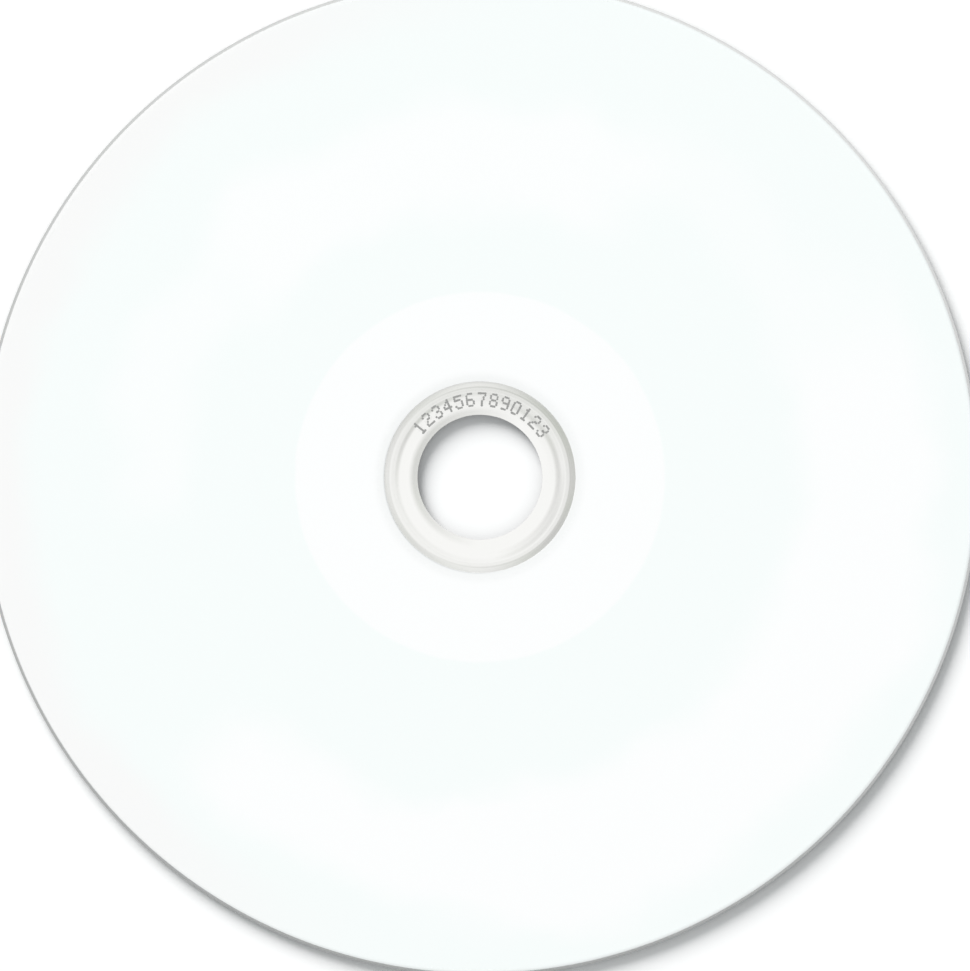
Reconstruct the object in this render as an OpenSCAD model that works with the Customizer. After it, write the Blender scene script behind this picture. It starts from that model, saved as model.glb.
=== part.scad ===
// Recordable compact disc with a plain white printable face.
// It lies flat with the printable face up. The origin is the middle of the centre hole,
// at the level of the surface that the stacking ring stands on.

/* [Body] */
// Outside diameter of the clear moulded body
disc_d = 120; // [90:1:130]
// Thickness of the clear body between its two flat faces
body_t = 1.2; // [0.9:0.1:2]
// Radius of the rounded corners of the rim
rim_round = 0.2; // [0.05:0.05:0.4]

/* [Centre hole] */
// Diameter of the centre hole
hole_d = 15; // [10:0.5:17]
// Bevel at each end of the centre hole
hole_bevel = 0.1; // [0.05:0.05:0.2]

/* [Stacking ring] */
// Middle diameter of the stacking ring under the body
stack_d = 34.8; // [33:0.2:38]
// Height of the stacking ring below the data face
stack_h = 0.2; // [0.1:0.05:0.4]
// Width of the stacking ring's flat foot
stack_foot = 0.5; // [0.2:0.1:1]
// Width of each sloped side of the stacking ring
stack_slope = 0.3; // [0.1:0.1:0.5]

/* [Moulding rings in the hub] */
// Gap from the printable coat's inner edge to the holder groove in the top face
holder_gap = 0.1; // [0.05:0.05:0.5]
// Width of the holder groove at the top face
holder_w = 0.9; // [0.8:0.1:1.2]
// Depth of the holder groove
holder_deep = 0.08; // [0.04:0.02:0.2]
// Width of each sloped side of the holder groove
holder_slope = 0.35; // [0.05:0.05:0.35]
// Clear wall from the centre hole to the sleeve recess under the hub
sleeve_wall = 1.6; // [1:0.1:2.5]
// Width of the sleeve recess at the data face
sleeve_w = 1.4; // [1:0.1:1.8]
// Depth of the sleeve recess
sleeve_deep = 0.12; // [0.04:0.02:0.3]
// Width of each sloped side of the sleeve recess
sleeve_slope = 0.4; // [0.1:0.1:0.4]

/* [Mirror layer] */
// Inner diameter of the mirror layer
mirror_in_d = 44.5; // [40:0.5:50]
// Width of the coat's bare margin outside the mirror layer
mirror_margin = 0.9; // [0.3:0.1:2]
// Thickness of the mirror layer
mirror_t = 0.01; // [0.005:0.005:0.03]

/* [Printable coat] */
// Inner diameter of the printable coat
coat_in_d = 23; // [22:0.5:30]
// Flat margin from the printable coat's outer edge to the rim's rounding
coat_margin = 0.15; // [0.05:0.05:0.5]
// Thickness of the printable coat over the mirror layer
coat_t = 0.04; // [0.02:0.01:0.1]

/* [Hidden] */
$fn = 240;

disc_r = disc_d / 2;
hole_r = hole_d / 2;
// The stacking ring's foot is at z = 0, and the data face is over it.
data_z = stack_h;
top_z = data_z + body_t;
mirror_z = top_z + mirror_t;
coat_z = mirror_z + coat_t;
coat_in_r = coat_in_d / 2;
coat_out_r = disc_r - rim_round - coat_margin;
mirror_in_r = mirror_in_d / 2;
mirror_out_r = coat_out_r - mirror_margin;
// Rings and cuts run this far past the face that they start from, so that they overlap
// the body or the open air behind it.
past = 0.4;

// Section of a ring that stands on the face at z = 0: foot_w wide at height h, and wider
// at the face by a slope on each side. It is centred on radius mid_r.
module ring_section(mid_r, foot_w, slope, h) {
    face_w = foot_w + 2 * slope;
    polygon([
        [mid_r - face_w / 2, 0],
        [mid_r + face_w / 2, 0],
        [mid_r + foot_w / 2, h],
        [mid_r - foot_w / 2, h]
    ]);
    translate([mid_r - face_w / 2, -past]) square([face_w, past]);
}

// Section of the plain plate, from the hole's wall to the rounded rim.
module plate_section() {
    translate([hole_r, data_z]) square([disc_r - rim_round - hole_r, body_t]);
    translate([disc_r - 2 * rim_round, data_z + rim_round])
        square([2 * rim_round, body_t - 2 * rim_round]);
    for (z = [data_z + rim_round, top_z - rim_round])
        translate([disc_r - rim_round, z]) circle(rim_round, $fn = 48);
}

// Section of the bevel that is cut from the hole's end at the face at z = 0.
module bevel_section()
    polygon([
        [hole_r - past, -past],
        [hole_r + hole_bevel + past, -past],
        [hole_r - past, hole_bevel + past]
    ]);

// The stacking ring under the body, and the cuts that go up from the data face.
module stacking_ring()
    translate([0, data_z]) mirror([0, 1])
        ring_section(stack_d / 2, stack_foot, stack_slope, stack_h);

module data_face_cuts()
    translate([0, data_z]) {
        bevel_section();
        ring_section(hole_r + sleeve_wall + sleeve_w / 2, sleeve_w - 2 * sleeve_slope,
                     sleeve_slope, sleeve_deep);
    }

// The cuts that go down from the top face.
module top_face_cuts()
    translate([0, top_z]) mirror([0, 1]) {
        bevel_section();
        ring_section(coat_in_r - holder_gap - holder_w / 2, holder_w - 2 * holder_slope,
                     holder_slope, holder_deep);
    }

// The clear body is one moulding: plate, stacking ring and hub rings together.
module substrate()
    color("gainsboro", 0.4)
        rotate_extrude()
            difference() {
                union() {
                    plate_section();
                    stacking_ring();
                }
                data_face_cuts();
                top_face_cuts();
            }

// The thin mirror lies on the body's top face, under the coat.
module mirror_layer()
    color("silver")
        rotate_extrude()
            translate([mirror_in_r, top_z])
                square([mirror_out_r - mirror_in_r, mirror_t]);

// The coat covers the mirror layer and its two edges, and lies on the body beyond them.
module print_coat()
    color("white")
        rotate_extrude()
            difference() {
                translate([coat_in_r, top_z])
                    square([coat_out_r - coat_in_r, coat_z - top_z]);
                translate([mirror_in_r, top_z - past])
                    square([mirror_out_r - mirror_in_r, past + mirror_t]);
            }

substrate();
mirror_layer();
print_coat();
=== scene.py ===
"""A blank printable disc that lies face up on a pale floor, in soft studio light."""

import logging
import math
from collections.abc import Mapping, Sequence
from dataclasses import dataclass, field
from enum import Enum
from typing import Any

import bmesh
import bpy
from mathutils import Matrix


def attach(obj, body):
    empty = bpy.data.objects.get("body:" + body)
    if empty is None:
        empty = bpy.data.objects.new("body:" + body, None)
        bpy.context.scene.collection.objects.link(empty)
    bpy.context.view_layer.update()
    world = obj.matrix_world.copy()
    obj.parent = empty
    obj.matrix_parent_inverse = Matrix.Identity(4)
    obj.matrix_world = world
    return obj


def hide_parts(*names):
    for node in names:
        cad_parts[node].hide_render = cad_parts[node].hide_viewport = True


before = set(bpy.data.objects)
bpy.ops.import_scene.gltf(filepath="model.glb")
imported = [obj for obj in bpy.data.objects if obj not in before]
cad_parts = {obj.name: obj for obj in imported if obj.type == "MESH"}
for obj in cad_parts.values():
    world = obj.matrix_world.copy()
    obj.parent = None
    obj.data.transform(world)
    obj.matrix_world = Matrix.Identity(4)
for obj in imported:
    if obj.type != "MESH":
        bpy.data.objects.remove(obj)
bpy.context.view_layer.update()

LOG = logging.getLogger("disc")
MM = 0.001
BODY = "root"

Colour = tuple[float, float, float]
Point = tuple[float, float]


class Turn(Enum):
    """How finely a round piece is turned, in steps for a full turn."""

    FINE = 900
    DOT = 14


@dataclass(frozen=True)
class Value:
    """One output socket of a node, with arithmetic that adds Math nodes to its tree.

    Args:
        graph: The tree that the socket is in.
        socket: The socket itself.
    """

    graph: "Graph"
    socket: bpy.types.NodeSocket

    def __add__(self, other: "Value | float") -> "Value":
        """Adds another value."""
        return self.graph.math("ADD", self, other)

    def __radd__(self, other: float) -> "Value":
        """Adds this value to a number."""
        return self.graph.math("ADD", other, self)

    def __sub__(self, other: "Value | float") -> "Value":
        """Takes another value away."""
        return self.graph.math("SUBTRACT", self, other)

    def __rsub__(self, other: float) -> "Value":
        """Takes this value away from a number."""
        return self.graph.math("SUBTRACT", other, self)

    def __mul__(self, other: "Value | float") -> "Value":
        """Multiplies by another value."""
        return self.graph.math("MULTIPLY", self, other)

    def __rmul__(self, other: float) -> "Value":
        """Multiplies a number by this value."""
        return self.graph.math("MULTIPLY", other, self)

    def __truediv__(self, other: "Value | float") -> "Value":
        """Divides by another value."""
        return self.graph.math("DIVIDE", self, other)

    def __rtruediv__(self, other: float) -> "Value":
        """Divides a number by this value."""
        return self.graph.math("DIVIDE", other, self)

    def within(self, low: float, high: float, soft: float) -> "Value":
        """Gives 1 between two limits and 0 outside them, with soft edges.

        Args:
            low: The lower limit.
            high: The upper limit.
            soft: The width of each edge, which is centred on its limit.

        Returns:
            The mask, from 0 to 1.
        """
        return self.rise(low, soft) * (1.0 - self.rise(high, soft))

    def rise(self, at: float, soft: float) -> "Value":
        """Gives 0 below a limit and 1 above it, with a soft edge.

        Args:
            at: The limit, at the middle of the edge.
            soft: The width of the edge.

        Returns:
            The mask, from 0 to 1.
        """
        settings = {"interpolation_type": "SMOOTHSTEP"}
        ends = {0: self, 1: at - soft / 2, 2: at + soft / 2}
        return self.graph.make("ShaderNodeMapRange", settings, ends)

    def swing(self, width: float) -> "Value":
        """Turns a share from 0 to 1 into a swing about 0, of the given width in all."""
        return (self - 0.5) * width


@dataclass(frozen=True)
class Grain:
    """Smooth noise that a finish is uneven by.

    Args:
        size: The size of its blotches in millimetres.
        rough: How much rougher the surface is where the noise is strongest.
        detail: How many finer layers it has.
    """

    size: float
    rough: float = 0.0
    detail: float = 3.0


class Graph:
    """A node tree that is written as expressions.

    The numbers below are the sockets of a Mix node that is set to colours.
    """

    MIX_SHARE, MIX_LOW, MIX_HIGH, MIX_RESULT = 0, 6, 7, 2

    def __init__(self, tree: bpy.types.NodeTree) -> None:
        """Starts on an empty tree.

        Args:
            tree: The tree that the nodes go in.
        """
        self.tree = tree
        self.tree.nodes.clear()

    def add(
        self,
        kind: str,
        settings: Mapping[str, Any] | None = None,
        inputs: Mapping[int | str, Any] | None = None,
    ) -> bpy.types.Node:
        """Adds one node.

        Args:
            kind: The node's type name.
            settings: Its settings, which are made before its sockets are fed. A ramp's
                stops are a list of places and colours.
            inputs: Values or links, by socket name or number.

        Returns:
            The node.
        """
        node = self.tree.nodes.new(kind)
        for name, setting in (settings or {}).items():
            if name == "stops":
                self._set_stops(node.color_ramp, setting)
            else:
                setattr(node, name, setting)
        for key, given in (inputs or {}).items():
            if isinstance(given, Value):
                self.tree.links.new(given.socket, node.inputs[key])
            else:
                node.inputs[key].default_value = given
        return node

    def make(
        self,
        kind: str,
        settings: Mapping[str, Any] | None = None,
        inputs: Mapping[int | str, Any] | None = None,
        output: int | str = 0,
    ) -> Value:
        """Adds one node and gives one of its outputs.

        Args:
            kind: The node's type name.
            settings: Its settings.
            inputs: Values or links, by socket name or number.
            output: The output's name or number.

        Returns:
            The output as a value.
        """
        return Value(self, self.add(kind, settings, inputs).outputs[output])

    def math(self, operation: str, *terms: "Value | float") -> Value:
        """Adds a Math node on values and numbers, and gives its result."""
        return self.make("ShaderNodeMath", {"operation": operation}, dict(enumerate(terms)))

    def blend(self, share: "Value | float", low: Any, high: Any) -> Value:
        """Mixes two colours.

        Args:
            share: The share of the second colour, from 0 to 1.
            low: The first colour.
            high: The second colour.

        Returns:
            The mixed colour.
        """
        inputs = {
            self.MIX_SHARE: share,
            self.MIX_LOW: self._rgba(low),
            self.MIX_HIGH: self._rgba(high),
        }
        return self.make("ShaderNodeMix", {"data_type": "RGBA"}, inputs, self.MIX_RESULT)

    def place(self) -> Value:
        """Gives the place on the piece in metres, from the disc's axis and foot."""
        return self.make("ShaderNodeTexCoord", output="Object")

    def split(self, vector: Value) -> tuple[Value, Value, Value]:
        """Splits a vector into its three parts."""
        node = self.add("ShaderNodeSeparateXYZ", None, {0: vector})
        x, y, z = (Value(self, socket) for socket in node.outputs)
        return x, y, z

    def radius_mm(self) -> Value:
        """Gives the distance from the disc's axis in millimetres."""
        x, y, _ = self.split(self.place())
        return self.math("SQRT", x * x + y * y) / MM

    def angle(self) -> Value:
        """Gives the angle round the disc's axis in radians, from +X towards +Y."""
        x, y, _ = self.split(self.place())
        return self.math("ARCTAN2", y, x)

    def facing(self, toward: float, lobes: int = 1) -> Value:
        """Gives 1 on the side of the disc that faces a direction, and -1 opposite it.

        Args:
            toward: The direction in degrees, from +X towards +Y.
            lobes: How many such sides there are in a full turn.

        Returns:
            The cosine of the angle from that direction, times the number of sides.
        """
        return self.math("COSINE", (self.angle() - math.radians(toward)) * lobes)

    def noise(self, grain: Grain) -> Value:
        """Gives a finish's smooth noise, from 0 to 1."""
        inputs = {"Vector": self.place(), "Scale": 1 / (grain.size * MM), "Detail": grain.detail}
        return self.make("ShaderNodeTexNoise", None, inputs)

    def principled(self, inputs: Mapping[str, Any]) -> Value:
        """Adds the general surface shader, and gives its result."""
        return self.make("ShaderNodeBsdfPrincipled", None, inputs)

    def bump(self, height: Value, strength: float, depth_mm: float) -> Value:
        """Turns a height into a normal.

        Args:
            height: The height, from 0 to 1.
            strength: The share of the effect, from 0 to 1.
            depth_mm: The real depth that a height of 1 stands for.

        Returns:
            The normal.
        """
        inputs = {"Strength": strength, "Distance": depth_mm * MM, "Height": height}
        return self.make("ShaderNodeBump", None, inputs)

    @staticmethod
    def _rgba(colour: Any) -> Any:
        """Gives a colour its alpha, and leaves a link as it is."""
        return colour if isinstance(colour, Value) else (*colour, 1.0)

    @staticmethod
    def _set_stops(ramp: bpy.types.ColorRamp, stops: Sequence[tuple[float, Colour]]) -> None:
        """Sets a ramp's places and colours.

        Args:
            ramp: The ramp, which has two stops at first.
            stops: At least two places from 0 to 1, in order, each with its colour.
        """
        while len(ramp.elements) < len(stops):
            ramp.elements.new(0.5)
        for element, (place, colour) in zip(ramp.elements, stops):
            element.position = place
            element.color = (*colour, 1.0)


def material_graph(name: str) -> tuple[bpy.types.Material, Graph]:
    """Makes an empty node material.

    Args:
        name: The material's name.

    Returns:
        The material and its graph.
    """
    material = bpy.data.materials.new(name)
    material.use_nodes = True
    return material, Graph(material.node_tree)


def close_material(graph: Graph, surface: Value) -> None:
    """Joins a surface to the material's output."""
    graph.add("ShaderNodeOutputMaterial", None, {"Surface": surface})


@dataclass(frozen=True)
class Edge:
    """A soft edge in a finish, at a radius of the disc.

    Args:
        at: The radius of its middle in millimetres.
        soft: Its width in millimetres.
        share: How strong the effect that it bounds is, from 0 to 1.
        ragged: How far it wanders, in millimetres.
    """

    at: float
    soft: float
    share: float = 1.0
    ragged: float = 0.0

    def outside(self, radius: Value, noise: Value | None = None) -> Value:
        """Gives the effect's share where it lies outside the edge.

        Args:
            radius: The distance from the axis in millimetres.
            noise: The noise that the edge wanders by, from 0 to 1.

        Returns:
            The share, which is 0 inside the edge.
        """
        if noise is not None:
            radius = radius + noise.swing(self.ragged)
        return radius.rise(self.at, self.soft) * self.share

    def inside(self, radius: Value) -> Value:
        """Gives the effect's share where it lies inside the edge, and 0 outside."""
        return (1.0 - radius.rise(self.at, self.soft)) * self.share


@dataclass(frozen=True)
class Side:
    """One side of the disc, with soft ends.

    Args:
        toward: The direction of its middle in degrees, from +X towards +Y.
        end: Where it ends, as the cosine of the angle from its middle.
        soft: The width of its ends, in the same measure.
    """

    toward: float
    end: float
    soft: float

    def share(self, graph: Graph) -> Value:
        """Gives 1 on that side and 0 on the other."""
        return graph.facing(self.toward).rise(self.end, self.soft)


@dataclass(frozen=True)
class FrostAndShadeRing:
    """A ring of the clear plastic with a slight frosting and painted shade, the shade heavier on
    one side.

    Args:
        inner: Its inner radius in millimetres.
        outer: Its outer radius in millimetres.
        share: How strong its frosting and painted shade are on average, from 0 to 1.
        toward: The direction in which its painted shade is heaviest, in degrees.
        sway: How much the share changes round the ring.
        soft: The width of its edges in millimetres.
        lobes: How many times the share rises and falls in a full turn.
    """

    inner: float
    outer: float
    share: float
    toward: float
    sway: float
    soft: float
    lobes: int = 1


@dataclass(frozen=True)
class ClearPlastic:
    """Clear moulded polycarbonate. The sides of its moulded rings have a slight frosting, and
    painted shade greys the rings, heavier on one side of each.

    The outer wall keeps the fine matt texture of the mould, so that it looks milky.

    Args:
        colour: The colour of the clear plastic.
        ring_colour: The painted shade's grey on a ring at full share, which also streaks the outer
            wall.
        ring_tint: The colour of such a ring where it is warmer.
        rings: The rings of frosting and painted shade.
        haze: The unevenness of the clear faces.
        warmth: How strongly the haze turns a ring's colour to its warmer one.
        polish: The least roughness of the clear faces.
        frost_rough: How much rougher a ring is at full share.
        milky: The colour that the outer wall's texture scatters.
        wall: Where that texture begins, and the share of the light that it scatters.
        wall_low: The height where it begins, in millimetres.
        wall_high: The height where it ends, in millimetres.
        wall_fade: The height over which it comes and goes, in millimetres.
        wall_rough: The wall's least roughness.
        streaks: The unevenness of the wall.
        ior: The plastic's refractive index.
    """

    colour: Colour = (0.985, 0.985, 0.975)
    ring_colour: Colour = (0.53, 0.555, 0.505)
    ring_tint: Colour = (0.555, 0.555, 0.545)
    rings: tuple[FrostAndShadeRing, ...] = (
        FrostAndShadeRing(7.3, 8.3, 0.16, 160.0, 0.50, 0.8),
        FrostAndShadeRing(8.5, 10.3, 0.0, 75.0, 0.12, 0.8),
        FrostAndShadeRing(9.15, 9.75, 0.0, 12.0, 0.55, 0.5),
        FrostAndShadeRing(9.75, 10.2, 0.0, -36.0, 0.38, 0.4, 2),
        FrostAndShadeRing(9.85, 10.35, 0.20, 120.0, 0.16, 0.5),
        FrostAndShadeRing(10.4, 10.7, 0.265, 52.0, 0.145, 0.25),
        FrostAndShadeRing(10.7, 10.92, 0.228, 24.0, 0.283, 0.2),
        FrostAndShadeRing(10.7, 10.92, 0.112, 90.0, 0.112, 0.2, 2),
        FrostAndShadeRing(10.85, 11.6, 0.30, 5.0, 0.25, 0.4),
        FrostAndShadeRing(10.85, 11.6, 0.155, 0.0, 0.155, 0.4, 2),
        FrostAndShadeRing(10.95, 11.5, 0.139, 45.0, 0.139, 0.4, 4),
        FrostAndShadeRing(59.6, 60.1, 0.0, 145.0, 0.24, 0.1),
    )
    haze: Grain = Grain(6.0, 0.02)
    warmth: float = 3.0
    polish: float = 0.01
    frost_rough: float = 0.12
    milky: Colour = (0.80, 0.82, 0.82)
    wall: Edge = Edge(59.955, 0.03, 0.55)
    wall_low: float = 0.36
    wall_high: float = 1.24
    wall_fade: float = 0.08
    wall_rough: float = 0.35
    streaks: Grain = Grain(0.5, 0.25)
    ior: float = 1.585

    def build(self) -> bpy.types.Material:
        """Builds the material.

        Returns:
            The material.
        """
        material, graph = material_graph("clear_polycarbonate")
        radius = graph.radius_mm()
        _, _, height = graph.split(graph.place())
        upright = (height / MM).within(self.wall_low, self.wall_high, self.wall_fade)
        faces = {
            0: self.wall.outside(radius) * upright,
            1: self._clear(graph, radius),
            2: self._matt(graph),
        }
        close_material(graph, graph.make("ShaderNodeMixShader", None, faces))
        return material

    def _clear(self, graph: Graph, radius: Value) -> Value:
        """Makes the clear faces with their rings of frosting and painted shade.

        Args:
            graph: The material's graph.
            radius: The distance from the axis in millimetres.

        Returns:
            The surface.
        """
        frost_and_shade: Value | float = 0.0
        # Painted shade: grey rings on the clear plastic, each heavier on one side; the frosting
        # itself is only in the roughness.
        for ring in self.rings:
            sway = graph.facing(ring.toward, ring.lobes) * ring.sway
            share = graph.math("MAXIMUM", sway + ring.share, 0.0)
            frost_and_shade = radius.within(ring.inner, ring.outer, ring.soft) * share + frost_and_shade
        haze = graph.noise(self.haze)
        warm = haze.swing(self.warmth) + 0.5
        frost_and_shade_grey = graph.blend(warm, self.ring_colour, self.ring_tint)
        return graph.principled(
            {
                "Base Color": graph.blend(frost_and_shade, self.colour, frost_and_shade_grey),
                "Roughness": self.polish + haze * self.haze.rough + frost_and_shade * self.frost_rough,
                "IOR": self.ior,
                "Transmission Weight": 1.0,
            }
        )

    def _matt(self, graph: Graph) -> Value:
        """Makes the outer wall's milky surface."""
        streaks = graph.noise(self.streaks)
        return graph.principled(
            {
                "Base Color": graph.blend(streaks, self.ring_colour, self.milky),
                "Roughness": self.wall_rough + streaks * self.streaks.rough,
                "IOR": self.ior,
            }
        )


@dataclass(frozen=True)
class MirrorFilm:
    """The mirror film with its dye, which shows through the clear body from below. Its rainbow
    spokes are a painted reflection, fixed round the disc.

    Args:
        silver: The film's plain colour.
        dye: The tint of the dye where it lies thickest.
        dye_share: How strong that tint is, from 0 to 1.
        dyed: The inner and outer radius of the dyed ring in millimetres.
        dyed_soft: The width of that ring's edges in millimetres.
        rainbow: The painted reflection's colours, by their place in its turn from 0 to 1.
        spread: How strong that painted reflection is, from 0 to 1.
        spokes: How many times it comes round in a full turn.
        first_spoke: Where it starts, as a share of its own width.
        drift: The noise that bends it.
        bend: How far it is bent, as a share of its own width.
        grooves: How many rings of the track's sheen there are in a millimetre.
        rough: The roughness of the plain film.
        dyed_rough: How much rougher the dyed ring is.
        groove_rough: How much the track changes the roughness.
        drawn_out: How far highlights are drawn out along the track, from 0 to 1.
    """

    silver: Colour = (0.72, 0.78, 0.79)
    dye: Colour = (0.56, 0.70, 0.66)
    dye_share: float = 0.6
    dyed: Point = (24.0, 58.4)
    dyed_soft: float = 0.5
    rainbow: tuple[tuple[float, Colour], ...] = (
        (0.0, (0.74, 0.79, 0.80)),
        (0.18, (0.52, 0.50, 0.86)),
        (0.30, (0.34, 0.68, 0.90)),
        (0.40, (0.40, 0.86, 0.62)),
        (0.50, (0.88, 0.88, 0.46)),
        (0.60, (0.92, 0.62, 0.44)),
        (0.72, (0.82, 0.52, 0.66)),
        (0.88, (0.72, 0.77, 0.79)),
        (1.0, (0.74, 0.79, 0.80)),
    )
    spread: float = 0.34
    spokes: float = 2.0
    first_spoke: float = 0.04
    drift: Grain = Grain(30.0, detail=1.0)
    bend: float = 0.18
    grooves: float = 6.0
    rough: float = 0.14
    dyed_rough: float = 0.10
    groove_rough: float = 0.02
    drawn_out: float = 0.85

    def build(self) -> bpy.types.Material:
        """Builds the material.

        Returns:
            The material.
        """
        material, graph = material_graph("mirror_film")
        radius = graph.radius_mm()
        # Painted reflection: rainbow spokes fixed round the disc, over the dyed ring.
        turn = graph.angle() / (2 * math.pi) + 0.5
        bend = graph.noise(self.drift) * self.bend
        along = graph.math("FRACT", turn * self.spokes + bend + self.first_spoke)
        rainbow = graph.make("ShaderNodeValToRGB", {"stops": self.rainbow}, {0: along})
        dyed = radius.within(*self.dyed, self.dyed_soft)
        plain = graph.blend(dyed * self.dye_share, self.silver, self.dye)
        groove = graph.math("FRACT", radius * self.grooves)
        surface = graph.principled(
            {
                "Base Color": graph.blend(dyed * self.spread, plain, rainbow),
                "Metallic": 1.0,
                "Roughness": self.rough + dyed * self.dyed_rough + groove * self.groove_rough,
                "Anisotropic": self.drawn_out,
            }
        )
        close_material(graph, surface)
        return material


@dataclass(frozen=True)
class PaintedSheenPatch:
    """A patch of painted sheen: part of a ring on the coat, painted a shade brighter.

    Args:
        toward: The middle of the patch in degrees, from +X towards +Y.
        half_turn: Half its width in degrees.
        inner: Its inner radius in millimetres.
        outer: Its outer radius in millimetres.
        share: How bright it is, from 0 to 1.
    """

    toward: float
    half_turn: float
    inner: float
    outer: float
    share: float

    MOST_FADE = 0.35
    FADE_SHARE = 0.9

    @property
    def end(self) -> float:
        """The cosine of the angle from the patch's middle to its ends."""
        return math.cos(math.radians(self.half_turn))

    @property
    def fade(self) -> float:
        """How far that cosine falls from full to none about the patch's ends."""
        return min(self.MOST_FADE, self.FADE_SHARE * (1.0 - self.end))


@dataclass(frozen=True)
class WhiteCoat:
    """The matt absorbent coat: white on the clear body, cooler where the film is behind, with
    painted sheen and painted shade at its edges.

    Args:
        bare: The colour where the clear body is behind the coat.
        backed: The colour where the mirror film is behind it.
        film_step: Where the film begins.
        hub_margin: The colour of the margin at the hub.
        margin: Where that margin ends, and its share of the colour.
        lip_shade_colour: The painted shade on the coat's inner lip, on its darkest side.
        lip: Where that painted shade ends, and its share of the colour.
        lip_shade_side: The side where that painted shade is darkest.
        rim_shade: The painted shade along the coat's outer edge.
        rim: Where that painted shade begins, and its share of the colour.
        rim_toward: The direction in which that painted shade reaches furthest in, in degrees.
        rim_sway: How much further in it reaches there, in millimetres.
        dull: The tint of the coat's outer part on its dull side.
        dull_side: That side.
        dull_part: Where the outer part begins.
        patches: The patches of painted sheen.
        patch_ragged: How far their outlines wander, in millimetres.
        patch_soft: The width of their edges in millimetres.
        cloud: The wide noise that breaks up the wider outlines.
        mottle: The middling noise.
        grain: The fine grain of the coat.
        grain_colour: The colour that the grain leans to.
        lean: How far it leans to it on average, and how far that swings.
        rough: The coat's least roughness.
        shine: How strongly it mirrors, where 0.5 is common plastic.
        relief: How strongly the grain turns the surface.
        relief_height: The grain's height in millimetres.
        fine_share: The grain's share of that height, where the mottle has the rest.
    """

    bare: Colour = (0.99, 0.99, 0.99)
    backed: Colour = (0.943, 0.978, 0.969)
    film_step: Edge = Edge(22.25, 0.5, ragged=0.3)
    hub_margin: Colour = (0.915, 0.92, 0.915)
    margin: Edge = Edge(12.4, 1.4, 0.8)
    lip_shade_colour: Colour = (0.70, 0.715, 0.71)
    lip: Edge = Edge(11.62, 0.16, 0.9)
    lip_shade_side: Side = Side(215.0, 0.5, 1.0)
    rim_shade: Colour = (0.60, 0.615, 0.61)
    rim: Edge = Edge(59.61, 0.5, 0.65)
    rim_toward: float = -50.0
    rim_sway: float = 0.13
    dull: Colour = (0.953, 0.947, 0.943)
    dull_side: Side = Side(172.0, 0.35, 0.7)
    dull_part: Edge = Edge(55.0, 6.0, ragged=8.0)
    patches: tuple[PaintedSheenPatch, ...] = (
        PaintedSheenPatch(-35.0, 58.0, 38.0, 55.5, 1.0),
        PaintedSheenPatch(-108.0, 27.0, 39.0, 50.5, 1.0),
        PaintedSheenPatch(103.0, 41.0, 31.5, 45.0, 0.85),
        PaintedSheenPatch(46.0, 20.0, 40.0, 48.0, 0.4),
        PaintedSheenPatch(166.0, 20.0, 36.0, 44.0, 0.6),
    )
    patch_ragged: float = 12.0
    patch_soft: float = 6.0
    cloud: Grain = Grain(16.0)
    mottle: Grain = Grain(2.4, 0.12)
    grain: Grain = Grain(0.22, 0.06)
    grain_colour: Colour = (0.80, 0.83, 0.83)
    lean: Point = (0.02, 0.05)
    rough: float = 0.74
    shine: float = 0.15
    relief: float = 0.35
    relief_height: float = 0.006
    fine_share: float = 0.7

    def build(self) -> bpy.types.Material:
        """Builds the material.

        Returns:
            The material.
        """
        material, graph = material_graph("white_print_coat")
        grain = graph.noise(self.grain)
        mottle = graph.noise(self.mottle)
        tone = self._tone(graph, mottle)
        least, swing = self.lean
        height = grain * self.fine_share + mottle * (1.0 - self.fine_share)
        surface = graph.principled(
            {
                "Base Color": graph.blend(grain.swing(swing) + least, tone, self.grain_colour),
                "Roughness": self.rough + mottle * self.mottle.rough + grain * self.grain.rough,
                "Specular IOR Level": self.shine,
                "Normal": graph.bump(height, self.relief, self.relief_height),
            }
        )
        close_material(graph, surface)
        return material

    def _tone(self, graph: Graph, mottle: Value) -> Value:
        """Joins the whites of the coat's rings, its patches of painted sheen and the painted shade
        at its edges.

        Args:
            graph: The material's graph.
            mottle: Middling noise that breaks up the film's edge.

        Returns:
            The colour.
        """
        radius = graph.radius_mm()
        cloud = graph.noise(self.cloud)
        # Painted sheen: brighter patches where the film is behind the coat.
        backed = graph.blend(self._patches(graph, radius, cloud), self.backed, self.bare)
        dull = self.dull_side.share(graph) * self.dull_part.outside(radius, cloud)
        backed = graph.blend(dull, backed, self.dull)
        white = graph.blend(self.film_step.outside(radius, mottle), self.bare, backed)
        toned = graph.blend(self.margin.inside(radius), white, self.hub_margin)
        # Painted shade on the coat's inner lip, darker on one side.
        lip = self.lip.inside(radius) * self.lip_shade_side.share(graph)
        toned = graph.blend(lip, toned, self.lip_shade_colour)
        # Painted shade along the coat's outer edge, reaching furthest in on the side away from the
        # lamp.
        at_rim = self.rim.outside(radius + graph.facing(self.rim_toward) * self.rim_sway)
        return graph.blend(at_rim, toned, self.rim_shade)

    def _patches(self, graph: Graph, radius: Value, cloud: Value) -> Value | float:
        """Joins the patches of painted sheen, with cloudy outlines.

        Args:
            graph: The material's graph.
            radius: The distance from the axis in millimetres.
            cloud: Wide noise that breaks up the outlines.

        Returns:
            The share of painted sheen, from 0 to 1.
        """
        ragged = radius + cloud.swing(self.patch_ragged)
        total: Value | float = 0.0
        for patch in self.patches:
            near = graph.facing(patch.toward).rise(patch.end, patch.fade)
            ring = ragged.within(patch.inner, patch.outer, self.patch_soft)
            total = near * ring * patch.share + total
        return total


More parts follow.
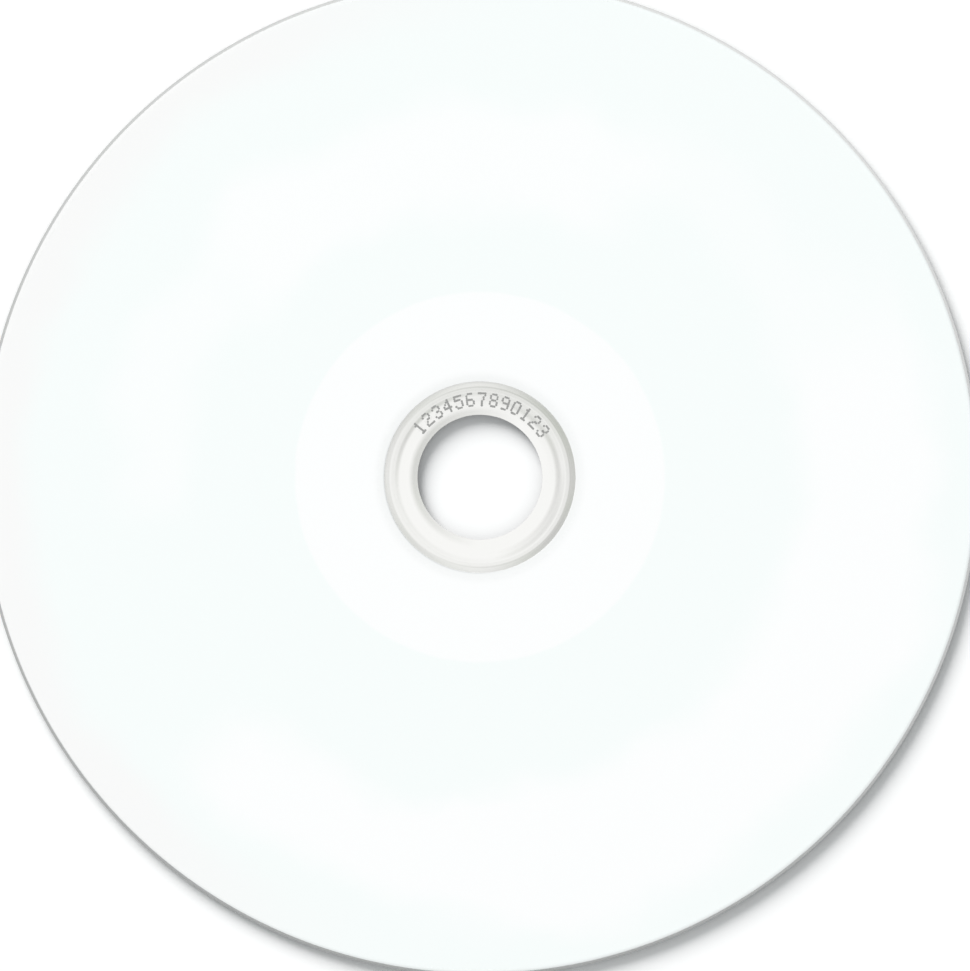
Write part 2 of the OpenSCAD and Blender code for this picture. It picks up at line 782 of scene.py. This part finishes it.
@dataclass(frozen=True)
class MarkingInk:
    """Grey marking dots that are burnt into the clear plastic.

    Args:
        colour: The dots' darkest colour.
        lighter: Their lightest colour, in specks.
        specks: The noise that makes the specks.
        rough: The least roughness.
        relief: How strongly the specks turn the surface.
        relief_height: Their height in millimetres.
    """

    colour: Colour = (0.23, 0.23, 0.225)
    lighter: Colour = (0.437, 0.437, 0.4275)
    specks: Grain = Grain(0.12, 0.2, 2.0)
    rough: float = 0.55
    relief: float = 0.4
    relief_height: float = 0.004

    def build(self) -> bpy.types.Material:
        """Builds the material.

        Returns:
            The material.
        """
        material, graph = material_graph("marking_grey")
        speck = graph.noise(self.specks)
        surface = graph.principled(
            {
                "Base Color": graph.blend(speck, self.colour, self.lighter),
                "Roughness": self.rough + speck * self.specks.rough,
                "Normal": graph.bump(speck, self.relief, self.relief_height),
            }
        )
        close_material(graph, surface)
        return material


@dataclass(frozen=True)
class Corner:
    """A corner of a section.

    Args:
        r: Its distance from the axis in millimetres.
        z: Its height in millimetres.
        soft: The radius that rounds it, in millimetres.
        steps: The number of straight steps in the rounding.
    """

    r: float
    z: float
    soft: float = 0.0
    steps: int = 3


@dataclass
class Section:
    """A closed outline that is turned about the disc's axis.

    Args:
        corners: Its corners in order.
        held: A long side's distance to the points that keep it flat when the mesh is
            shaded smooth, in millimetres.
        long: The least length of such a side in millimetres.
    """

    corners: Sequence[Corner]
    held: float = 0.03
    long: float = 0.35

    def outline(self) -> list[Point]:
        """Rounds the corners.

        Returns:
            The outline's points in millimetres.
        """
        points: list[Point] = []
        count = len(self.corners)
        for i, corner in enumerate(self.corners):
            before = self.corners[i - 1]
            after = self.corners[(i + 1) % count]
            points += self._rounded(before, corner, after)
        return self._hold_flats(points)

    def _hold_flats(self, points: Sequence[Point]) -> list[Point]:
        """Adds a point near each end of each long side.

        Args:
            points: The outline's points.

        Returns:
            The outline with the added points.
        """
        kept: list[Point] = []
        for i, start in enumerate(points):
            end = points[(i + 1) % len(points)]
            kept.append(start)
            length = math.dist(start, end)
            if length < self.long:
                continue
            across, up = end[0] - start[0], end[1] - start[1]
            for share in (self.held / length, 1.0 - self.held / length):
                kept.append((start[0] + across * share, start[1] + up * share))
        return kept

    @staticmethod
    def _rounded(before: Corner, corner: Corner, after: Corner) -> list[Point]:
        """Gives one corner's points.

        Args:
            before: The corner before it.
            corner: The corner.
            after: The corner after it.

        Returns:
            One point, or those of an arc that meets both sides smoothly.
        """
        if corner.soft == 0.0:
            return [(corner.r, corner.z)]
        back = (before.r - corner.r, before.z - corner.z)
        onward = (after.r - corner.r, after.z - corner.z)
        back_length, onward_length = math.hypot(*back), math.hypot(*onward)
        u = (back[0] / back_length, back[1] / back_length)
        v = (onward[0] / onward_length, onward[1] / onward_length)
        half = math.acos(max(-1.0, min(1.0, u[0] * v[0] + u[1] * v[1]))) / 2
        reach = corner.soft / math.tan(half)
        middle = (u[0] + v[0], u[1] + v[1])
        to_centre = corner.soft / math.sin(half) / math.hypot(*middle)
        centre = (corner.r + middle[0] * to_centre, corner.z + middle[1] * to_centre)
        start = (corner.r + u[0] * reach - centre[0], corner.z + u[1] * reach - centre[1])
        end = (corner.r + v[0] * reach - centre[0], corner.z + v[1] * reach - centre[1])
        first = math.atan2(start[1], start[0])
        sweep = math.atan2(end[1], end[0]) - first
        sweep = (sweep + math.pi) % (2 * math.pi) - math.pi
        angles = [first + sweep * k / corner.steps for k in range(corner.steps + 1)]
        return [
            (centre[0] + corner.soft * math.cos(a), centre[1] + corner.soft * math.sin(a))
            for a in angles
        ]

    def mesh(self, name: str, pivot: float) -> bpy.types.Mesh:
        """Draws the outline as loose edges, across the path that it will follow.

        Args:
            name: The mesh's name.
            pivot: The radius of that path in millimetres.

        Returns:
            The mesh.
        """
        points = [((r - pivot) * MM, -z * MM, 0.0) for r, z in self.outline()]
        edges = [(i, (i + 1) % len(points)) for i in range(len(points))]
        mesh = bpy.data.meshes.new(name)
        mesh.from_pydata(points, edges, [])
        return mesh


class Recipe:
    """A Geometry Nodes tree with named inputs, run once on an object."""

    KINDS = {
        float: "NodeSocketFloat",
        int: "NodeSocketInt",
        bpy.types.Material: "NodeSocketMaterial",
    }
    GEOMETRY = "NodeSocketGeometry"

    def __init__(self, name: str) -> None:
        """Starts the tree.

        Args:
            name: The tree's name.
        """
        self.tree = bpy.data.node_groups.new(name, "GeometryNodeTree")
        self.graph = Graph(self.tree)
        for way in ("OUTPUT", "INPUT"):
            self.tree.interface.new_socket("Geometry", in_out=way, socket_type=self.GEOMETRY)
        self.keys: dict[str, str] = {}

    def ask(self, name: str, kind: type) -> None:
        """Adds a named input to the tree.

        Args:
            name: The input's name.
            kind: The Python type of what it takes.
        """
        wanted = self.KINDS[kind]
        socket = self.tree.interface.new_socket(name, in_out="INPUT", socket_type=wanted)
        self.keys[name] = socket.identifier

    def given(self, name: str) -> Value:
        """Gives what one of the tree's inputs hands in, by its name."""
        return self.graph.make("NodeGroupInput", output=name)

    def close(self, geometry: Value, material: Value) -> None:
        """Ends the tree: real geometry with its material.

        Args:
            geometry: What the tree has made.
            material: The material to set.
        """
        real = self.graph.make("GeometryNodeRealizeInstances", None, {0: geometry})
        inputs = {"Geometry": real, "Material": material}
        dressed = self.graph.make("GeometryNodeSetMaterial", None, inputs)
        self.graph.add("NodeGroupOutput", None, {0: dressed})

    def run(self, name: str, start: bpy.types.Mesh, values: Mapping[str, Any]) -> bpy.types.Object:
        """Runs the tree on a mesh, and keeps the result as a plain mesh.

        Args:
            name: The new object's name.
            start: The mesh that the tree starts from.
            values: What each input is given.

        Returns:
            The object, with no modifier.
        """
        piece = bpy.data.objects.new(name, start)
        bpy.context.scene.collection.objects.link(piece)
        modifier = piece.modifiers.new("shape", "NODES")
        modifier.node_group = self.tree
        for key, value in values.items():
            modifier[self.keys[key]] = value
        bpy.context.view_layer.update()
        evaluated = piece.evaluated_get(bpy.context.evaluated_depsgraph_get())
        mesh = bpy.data.meshes.new_from_object(evaluated)
        piece.modifiers.remove(modifier)
        piece.data = mesh
        mesh.name = name
        finish = next(material for material in mesh.materials if material)
        mesh.materials.clear()
        mesh.materials.append(finish)
        mesh.polygons.foreach_set("material_index", [0] * len(mesh.polygons))
        bpy.data.meshes.remove(start)
        return piece


class TurnedRecipe(Recipe):
    """Turns a section about the disc's axis, as a path round a circle."""

    PATH_RADIUS_MM = 30.0

    def __init__(self) -> None:
        """Builds the tree."""
        super().__init__("turned_about_the_axis")
        self.ask("Path radius", float)
        self.ask("Steps", int)
        self.ask("Finish", bpy.types.Material)
        graph = self.graph
        section = graph.make("GeometryNodeMeshToCurve", None, {"Mesh": self.given("Geometry")})
        inputs = {"Resolution": self.given("Steps"), "Radius": self.given("Path radius")}
        circle = graph.make("GeometryNodeCurvePrimitiveCircle", {"mode": "RADIUS"}, inputs)
        inputs = {"Curve": circle, "Profile Curve": section}
        self.close(graph.make("GeometryNodeCurveToMesh", None, inputs), self.given("Finish"))

    def turn(self, name: str, section: Section, finish: bpy.types.Material) -> bpy.types.Object:
        """Turns one section into a closed ring.

        Args:
            name: The piece's name.
            section: Its section.
            finish: Its material.

        Returns:
            The piece.
        """
        values = {
            "Path radius": self.PATH_RADIUS_MM * MM,
            "Steps": Turn.FINE.value,
            "Finish": finish,
        }
        piece = self.run(name, section.mesh(name, self.PATH_RADIUS_MM), values)
        close_and_shade(piece.data)
        return piece


def close_and_shade(
    mesh: bpy.types.Mesh, merge_within: float = 1e-7, sharp_from: float = 24.0
) -> None:
    """Merges doubled points, turns the faces outwards and shades the mesh.

    Args:
        mesh: The mesh.
        merge_within: The distance in metres under which points are merged.
        sharp_from: The angle in degrees from which an edge is shaded sharp.
    """
    work = bmesh.new()
    work.from_mesh(mesh)
    bmesh.ops.remove_doubles(work, verts=work.verts, dist=merge_within)
    bmesh.ops.recalc_face_normals(work, faces=work.faces)
    work.to_mesh(mesh)
    work.free()
    mesh.shade_smooth()
    mesh.set_sharp_from_angle(angle=math.radians(sharp_from))


class DotRecipe(Recipe):
    """Puts a low round dot on each point of a mesh.

    The numbers below are the sockets of a Random Value node that is set to plain numbers.
    """

    RANDOM_LOW, RANDOM_HIGH, RANDOM_RESULT = 2, 3, 1

    def __init__(self) -> None:
        """Builds the tree."""
        super().__init__("dots_on_points")
        self.ask("Dot radius", float)
        self.ask("Dot height", float)
        self.ask("Size spread", float)
        self.ask("Seed", int)
        self.ask("Finish", bpy.types.Material)
        graph = self.graph
        inputs = {
            "Vertices": Turn.DOT.value,
            "Radius": self.given("Dot radius"),
            "Depth": self.given("Dot height"),
        }
        dot = graph.make("GeometryNodeMeshCylinder", {"fill_type": "NGON"}, inputs)
        spread = self.given("Size spread")
        inputs = {
            self.RANDOM_LOW: 1.0 - spread,
            self.RANDOM_HIGH: 1.0 + spread,
            "Seed": self.given("Seed"),
        }
        settings = {"data_type": "FLOAT"}
        size = graph.make("FunctionNodeRandomValue", settings, inputs, self.RANDOM_RESULT)
        inputs = {"Points": self.given("Geometry"), "Instance": dot, "Scale": size}
        placed = graph.make("GeometryNodeInstanceOnPoints", None, inputs)
        self.close(placed, self.given("Finish"))


@dataclass
class Disc:
    """The disc: clear body, mirror film and printed coat, all turned about one axis.

    All sizes are in millimetres, and those of the solids are the construction's.

    Args:
        rim: The radius of the rim.
        rim_round: The rounding of the rim.
        rim_steps: The number of straight steps in that rounding.
        hole: The radius of the centre hole.
        bevel: The bevel at each end of the hole.
        data_z: The height of the data face.
        top_z: The height of the top face.
        foot: The inner and outer radius of the stacking ring's foot.
        foot_slope: The width of its slopes.
        sleeve: The inner and outer radius of the recess under the hub.
        sleeve_deep: Its depth.
        sleeve_slope: The width of its slopes.
        holder: The inner and outer radius of the groove in the top face.
        holder_deep: Its depth.
        holder_slope: The width of its slopes.
        crisp: The rounding of the body's other corners.
        gentle: The rounding of the recess's and the groove's corners.
        film: The inner and outer radius of the mirror film.
        film_top: The height of its top.
        coat: The inner and outer radius of the coat.
        coat_top: The height of its top.
        coat_edge: The height of its two edges over the top face.
        coat_edge_round: The rounding of those edges.
        coat_thins: The width over which it thins out, at the hub and at the rim.
        coat_round: The rounding where that begins.
        coat_steps: The number of straight steps in that rounding.
        sunk: How far the film and the coat go into the body, so that no faces meet.
        film_gap: The gap round the film's edges, under the coat.
        recipe: The recipe that turns the sections.
    """

    rim: float = 60.0
    rim_round: float = 0.2
    rim_steps: int = 10
    hole: float = 7.5
    bevel: float = 0.1
    data_z: float = 0.2
    top_z: float = 1.4
    foot: Point = (17.15, 17.65)
    foot_slope: float = 0.3
    sleeve: Point = (9.1, 10.5)
    sleeve_deep: float = 0.12
    sleeve_slope: float = 0.4
    holder: Point = (10.5, 11.4)
    holder_deep: float = 0.08
    holder_slope: float = 0.35
    crisp: float = 0.03
    gentle: float = 0.6
    film: Point = (22.25, 58.75)
    film_top: float = 1.41
    coat: Point = (11.5, 59.65)
    coat_top: float = 1.45
    coat_edge: float = 0.04
    coat_edge_round: float = 0.02
    coat_thins: Point = (0.8, 0.4)
    coat_round: float = 0.3
    coat_steps: int = 4
    sunk: float = 0.004
    film_gap: float = 0.002
    recipe: TurnedRecipe = field(default_factory=TurnedRecipe)

    def build(self) -> list[bpy.types.Object]:
        """Builds and dresses the three turned pieces.

        Returns:
            The pieces.
        """
        return [self.clear_body(), self.mirror_film(), self.printed_coat()]

    def clear_body(self) -> bpy.types.Object:
        """Builds the clear moulding.

        Returns:
            The piece.
        """
        crisp, gentle = self.crisp, self.gentle
        sleeve_z = self.data_z + self.sleeve_deep
        holder_z = self.top_z - self.holder_deep
        corners = [
            Corner(self.hole + self.bevel, self.data_z, crisp),
            Corner(self.hole, self.data_z + self.bevel, crisp),
            Corner(self.hole, self.top_z - self.bevel, crisp),
            Corner(self.hole + self.bevel, self.top_z, crisp),
            Corner(self.holder[0], self.top_z, gentle),
            Corner(self.holder[0] + self.holder_slope, holder_z, gentle),
            Corner(self.holder[1] - self.holder_slope, holder_z, gentle),
            Corner(self.holder[1], self.top_z, gentle),
            Corner(self.rim, self.top_z, self.rim_round, self.rim_steps),
            Corner(self.rim, self.data_z, self.rim_round, self.rim_steps),
            Corner(self.foot[1] + self.foot_slope, self.data_z, crisp),
            Corner(self.foot[1], 0.0, crisp),
            Corner(self.foot[0], 0.0, crisp),
            Corner(self.foot[0] - self.foot_slope, self.data_z, crisp),
            Corner(self.sleeve[1], self.data_z, gentle),
            Corner(self.sleeve[1] - self.sleeve_slope, sleeve_z, gentle),
            Corner(self.sleeve[0] + self.sleeve_slope, sleeve_z, gentle),
            Corner(self.sleeve[0], self.data_z, gentle),
        ]
        piece = self.recipe.turn("clear_body", Section(corners), ClearPlastic().build())
        return self._stand_for(piece, "substrate")

    def mirror_film(self) -> bpy.types.Object:
        """Builds the film, sunk a little into the clear body so that their faces part.

        Returns:
            The piece.
        """
        low = self.top_z - self.sunk
        corners = [
            Corner(self.film[0], low),
            Corner(self.film[0], self.film_top),
            Corner(self.film[1], self.film_top),
            Corner(self.film[1], low),
        ]
        piece = self.recipe.turn("mirror_film", Section(corners), MirrorFilm().build())
        return self._stand_for(piece, "mirror_layer")

    def printed_coat(self) -> bpy.types.Object:
        """Builds the coat, which thins out towards its two edges.

        Returns:
            The piece.
        """
        low = self.top_z - self.sunk
        roof = self.film_top + self.sunk / 2
        thin = self.top_z + self.coat_edge
        inner, outer = self.coat
        film_inner, film_outer = self.film[0] - self.film_gap, self.film[1] + self.film_gap
        begins = (self.coat_top, self.coat_round, self.coat_steps)
        corners = [
            Corner(inner, low),
            Corner(inner, thin, self.coat_edge_round),
            Corner(inner + self.coat_thins[0], *begins),
            Corner(outer - self.coat_thins[1], *begins),
            Corner(outer, thin, self.coat_edge_round),
            Corner(outer, low),
            Corner(film_outer, low),
            Corner(film_outer, roof),
            Corner(film_inner, roof),
            Corner(film_inner, low),
        ]
        piece = self.recipe.turn("printed_coat", Section(corners), WhiteCoat().build())
        return self._stand_for(piece, "print_coat")

    @staticmethod
    def _stand_for(piece: bpy.types.Object, node: str) -> bpy.types.Object:
        """Rides a piece on the disc and lets it stand for a node.

        Args:
            piece: The piece.
            node: The node's name.

        Returns:
            The piece.
        """
        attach(piece, BODY)
        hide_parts(node)
        return piece


# Each digit's dots, from its top row to its foot.
DIGITS = {
    "0": ("01110", "10001", "10001", "10001", "10001", "10001", "01110"),
    "1": ("00100", "01100", "00100", "00100", "00100", "00100", "01110"),
    "2": ("01110", "10001", "00001", "00110", "01000", "10000", "11111"),
    "3": ("01110", "10001", "00001", "00110", "00001", "10001", "01110"),
    "4": ("00010", "00110", "01010", "10010", "11111", "00010", "00010"),
    "5": ("11111", "10000", "11110", "00001", "00001", "10001", "01110"),
    "6": ("01110", "10000", "10000", "11110", "10001", "10001", "01110"),
    "7": ("11111", "00001", "00010", "00010", "00100", "00100", "00100"),
    "8": ("01110", "10001", "10001", "01110", "10001", "10001", "01110"),
    "9": ("01110", "10001", "10001", "01111", "00001", "00001", "01110"),
}


@dataclass
class CountingMarks:
    """Plain counting digits in dots, on an arc over the hole, with their feet to it.

    Args:
        text: The digits, which only count upwards.
        foot_radius: The radius of the lowest row of dots in millimetres.
        row: The distance between rows in millimetres.
        column: The distance between columns in millimetres.
        pitch: The angle from digit to digit in degrees.
        middle: The angle of the arc's middle in degrees, from +X towards +Y.
        dot: The dots' radius in millimetres.
        spread: How much larger or smaller a dot may be, as a share.
        seed: The seed of the dots' sizes.
        top_z: The height of the face that they are burnt into, in millimetres.
        proud: How far they stand out of it in millimetres.
        deep: How far they go into it in millimetres.
    """

    text: str = "1234567890123"
    foot_radius: float = 8.65
    row: float = 0.24
    column: float = 0.20
    pitch: float = 8.7
    middle: float = 88.5
    dot: float = 0.14
    spread: float = 0.1
    seed: int = 5
    top_z: float = 1.4
    proud: float = 0.006
    deep: float = 0.02

    def build(self) -> bpy.types.Object:
        """Builds the dots.

        Returns:
            The piece.
        """
        points = bpy.data.meshes.new("dot_places")
        points.from_pydata(self._places(), [], [])
        values = {
            "Dot radius": self.dot * MM,
            "Dot height": (self.proud + self.deep) * MM,
            "Size spread": self.spread,
            "Seed": self.seed,
            "Finish": MarkingInk().build(),
        }
        piece = DotRecipe().run("counting_marks", points, values)
        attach(piece, BODY)
        return piece

    def _places(self) -> list[tuple[float, float, float]]:
        """Works out where each dot is.

        Returns:
            The dots' places in metres.
        """
        z = (self.top_z + (self.proud - self.deep) / 2) * MM
        first = self.middle + (len(self.text) - 1) / 2 * self.pitch
        places = []
        for index, digit in enumerate(self.text):
            angle = math.radians(first - index * self.pitch)
            up = (math.cos(angle), math.sin(angle))
            for row, line in enumerate(reversed(DIGITS[digit])):
                for column, mark in enumerate(line):
                    if mark == "1":
                        out = (self.foot_radius + row * self.row) * MM
                        side = (column - (len(line) - 1) / 2) * self.column * MM
                        x = up[0] * out + up[1] * side
                        y = up[1] * out - up[0] * side
                        places.append((x, y, z))
        return places


@dataclass
class Studio:
    """The floor, the light all round and the one soft lamp.

    Args:
        floor_half: Half the floor's side in metres.
        floor_z: The floor's height in metres, a hair under the disc's foot.
        floor_seen: The floor's colour where the camera sees it.
        floor_through: The floor's painted light where it is seen through the clear hub.
        floor_under: The floor's painted shadow where it is seen through the plastic under the
            coat.
        floor_rim: The floor's painted light where it is seen under the clear rim, on its brightest
            side.
        rim_toward: The direction of that side in degrees, from +X towards +Y.
        rim_under: Where the clear rim begins over the floor.
        open_floor: Where the open floor begins.
        lit_part: Where the floor that is lit through the hub ends.
        lit_shift: How far the lamp shifts that light, in millimetres.
        floor_real: The floor's colour for the light that it throws back.
        sky: The strength of the light all round.
        sky_through: The strength of that light where it reaches the floor through the
            clear plastic.
        sky_colour: The colour of the light all round.
        sky_seen: The colour of the surroundings where they are seen.
        lamp: The lamp's light on a level face, as a share of full white.
        lamp_colour: The lamp's colour.
        lamp_toward: The lamp's direction in degrees, from +X towards +Y.
        lamp_up: The lamp's height over the floor in degrees.
        lamp_away: The lamp's distance in metres.
        lamp_wide: The angle that the lamp fills, in degrees.
    """

    floor_half: float = 1.5
    floor_z: float = -0.000006
    floor_seen: Colour = (1.06, 1.06, 1.06)
    floor_through: Colour = (0.94, 0.94, 0.93)
    floor_under: Colour = (0.34, 0.35, 0.35)
    floor_rim: Colour = (0.80, 0.81, 0.81)
    rim_toward: float = 85.0
    rim_under: Edge = Edge(59.3, 0.6)
    open_floor: Edge = Edge(60.0, 0.1)
    lit_part: Edge = Edge(11.9, 1.0)
    lit_shift: float = 0.12
    floor_real: Colour = (0.86, 0.86, 0.86)
    sky: float = 0.485
    sky_through: float = 0.12
    sky_colour: Colour = (0.97, 1.0, 1.005)
    sky_seen: Colour = (1.0, 1.0, 1.0)
    lamp: float = 0.593
    lamp_colour: Colour = (1.0, 0.995, 0.992)
    lamp_toward: float = 121.5
    lamp_up: float = 32.0
    lamp_away: float = 20.0
    lamp_wide: float = 38.5

    def build(self) -> None:
        """Builds the floor and the lights."""
        self._floor()
        self._sky()
        self._lamp()

    def _floor(self) -> None:
        """Lays the floor."""
        half, z = self.floor_half, self.floor_z
        mesh = bpy.data.meshes.new("floor")
        corners = [(-half, -half, z), (half, -half, z), (half, half, z), (-half, half, z)]
        mesh.from_pydata(corners, [], [(0, 1, 2, 3)])
        floor = bpy.data.objects.new("floor", mesh)
        bpy.context.scene.collection.objects.link(floor)
        mesh.materials.append(self._floor_material())

    def _floor_material(self) -> bpy.types.Material:
        """Builds the floor's material, which glows with painted light and shadow where it is seen
        through the plastic.

        Returns:
            The material.
        """
        material, graph = material_graph("pale_floor")
        radius = graph.radius_mm()
        seen = self._ray(graph, "Is Camera Ray")
        through = self._ray(graph, "Is Transmission Ray") * self._first(graph)
        shown_lit = graph.math("MAXIMUM", seen, through)
        colour = graph.blend(shown_lit, self.floor_real, self.floor_seen)
        lit = graph.make("ShaderNodeBsdfDiffuse", None, {"Color": colour})
        below = self._below(graph, radius)
        # Painted light and shadow: the floor glows with set tones where it is seen through the
        # plastic.
        shown = graph.make("ShaderNodeEmission", None, {"Color": below})
        inputs = {0: through * self.open_floor.inside(radius), 1: lit, 2: shown}
        close_material(graph, graph.make("ShaderNodeMixShader", None, inputs))
        return material

    def _below(self, graph: Graph, radius: Value) -> Value:
        """Gives the floor's painted light and shadow where it is seen through the plastic.

        Args:
            graph: The floor's graph.
            radius: The distance from the axis in millimetres.

        Returns:
            The colour.
        """
        x, y, _ = graph.split(graph.place())
        toward = math.radians(self.lamp_toward)
        x = x / MM + math.cos(toward) * self.lit_shift
        y = y / MM + math.sin(toward) * self.lit_shift
        shade = self.lit_part.outside(graph.math("SQRT", x * x + y * y))
        hub = graph.blend(shade, self.floor_through, self.floor_under)
        bright = graph.facing(self.rim_toward) * 0.5 + 0.5
        rim = graph.blend(bright, self.floor_under, self.floor_rim)
        return graph.blend(self.rim_under.outside(radius), hub, rim)

    @staticmethod
    def _ray(graph: Graph, name: str) -> Value:
        """Gives one output of the Light Path node, by its name."""
        return graph.make("ShaderNodeLightPath", output=name)

    @classmethod
    def _first(cls, graph: Graph) -> Value:
        """Gives 1 until the light has met a matt surface, and 0 after that."""
        return 1.0 - cls._ray(graph, "Diffuse Depth").rise(0.5, 0.5)

    def _sky(self) -> None:
        """Sets the light all round: white where it is seen, softer where it lights."""
        world = bpy.data.worlds.new("studio")
        world.use_nodes = True
        bpy.context.scene.world = world
        graph = Graph(world.node_tree)
        seen: Value | float = 0.0
        for name in ("Is Camera Ray", "Is Glossy Ray", "Is Transmission Ray"):
            seen = graph.math("MAXIMUM", self._ray(graph, name), seen)
        first = self._first(graph)
        seen = seen * first
        colour = graph.blend(seen, self.sky_colour, self.sky_seen)
        through = self._ray(graph, "Is Transmission Ray") * (1.0 - first)
        lit = self.sky - through * (self.sky - self.sky_through)
        strength = seen * (1.0 - self.sky) + lit
        inputs = {"Color": colour, "Strength": strength}
        light = graph.make("ShaderNodeBackground", None, inputs)
        graph.add("ShaderNodeOutputWorld", None, {"Surface": light})

    def _lamp(self) -> None:
        """Hangs the lamp and turns it to the disc."""
        light = bpy.data.lights.new("soft_lamp", "AREA")
        light.shape = "DISK"
        light.color = self.lamp_colour
        light.size = 2 * self.lamp_away * math.tan(math.radians(self.lamp_wide / 2))
        rise = math.sin(math.radians(self.lamp_up))
        light.energy = self.lamp * math.pi**2 * self.lamp_away**2 / rise
        lamp = bpy.data.objects.new("soft_lamp", light)
        lamp.visible_transmission = False
        lamp.visible_glossy = False
        level = self.lamp_away * math.cos(math.radians(self.lamp_up))
        toward = math.radians(self.lamp_toward)
        x, y, z = level * math.cos(toward), level * math.sin(toward), self.lamp_away * rise
        lamp.location = (x, y, z)
        lamp.rotation_euler = (math.radians(90 - self.lamp_up), 0.0, toward + math.pi / 2)
        bpy.context.scene.collection.objects.link(lamp)


@dataclass
class Viewpoint:
    """The camera, which looks straight down on the disc.

    Args:
        over: The point of the disc's plane under the camera, in millimetres.
        away: The camera's height over the disc's top face in metres.
        wide: The width that it sees at that face in millimetres.
        top_z: The height of that face in millimetres.
        sensor: The width of the camera's sensor in millimetres.
        nearest: The nearest distance that it sees, in metres.
    """

    over: Point = (0.61, -1.0)
    away: float = 0.8
    wide: float = 116.65
    top_z: float = 1.4
    sensor: float = 36.0
    nearest: float = 0.01

    def build(self) -> None:
        """Sets up the camera and makes it the scene's."""
        lens = bpy.data.cameras.new("camera")
        lens.sensor_fit = "HORIZONTAL"
        lens.sensor_width = self.sensor
        lens.lens = self.sensor * self.away / (self.wide * MM)
        lens.clip_start = self.nearest
        camera = bpy.data.objects.new("camera", lens)
        camera.location = (self.over[0] * MM, self.over[1] * MM, self.top_z * MM + self.away)
        bpy.context.scene.collection.objects.link(camera)
        bpy.context.scene.camera = camera


def main() -> None:
    """Builds the disc, its marks, the studio and the camera."""
    logging.basicConfig(level=logging.INFO, format="%(name)s: %(message)s")
    bpy.context.scene.view_settings.view_transform = "Standard"
    Viewpoint().build()
    pieces = Disc().build() + [CountingMarks().build()]
    for piece in pieces:
        LOG.info("%s: %d faces", piece.name, len(piece.data.polygons))
    Studio().build()


if __name__ == "__main__":
    main()
